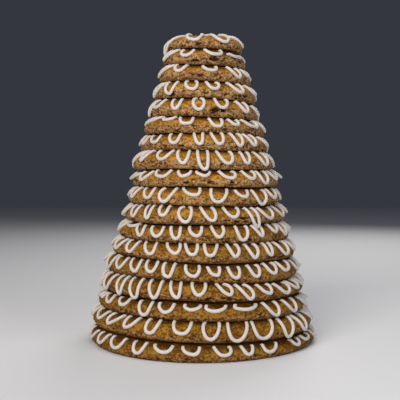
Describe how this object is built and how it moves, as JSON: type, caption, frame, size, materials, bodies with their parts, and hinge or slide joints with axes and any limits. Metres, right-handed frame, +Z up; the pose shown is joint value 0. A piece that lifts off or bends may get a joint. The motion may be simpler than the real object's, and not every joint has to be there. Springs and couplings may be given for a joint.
{
  "type": "kransekake ring cake",
  "caption": "Tapering tower of baked almond rings with flat feet and domed tops, open in the middle, each ring decorated with a piped zigzag of white icing.",
  "frame": {"origin": "centre of the base, on the surface the cake stands on", "axes": "+Z up along the tower, +X to the right and -Y towards the viewer"},
  "size_m": [0.2128, 0.2124, 0.2851],
  "materials": {
    "almond_crust": "rough, baked golden brown with darker cracks",
    "icing": "satin, set off-white sugar icing"
  },
  "bodies": {
    "root": {"ring_01": "almond_crust", "ring_02": "almond_crust", "ring_03": "almond_crust", "ring_04": "almond_crust", "ring_05": "almond_crust", "ring_06": "almond_crust", "ring_07": "almond_crust", "ring_08": "almond_crust", "ring_09": "almond_crust", "ring_10": "almond_crust", "ring_11": "almond_crust", "ring_12": "almond_crust", "ring_13": "almond_crust", "ring_14": "almond_crust", "ring_15": "almond_crust", "ring_16": "almond_crust", "ring_17": "almond_crust", "ring_18": "almond_crust"}
  },
  "joints": []
}
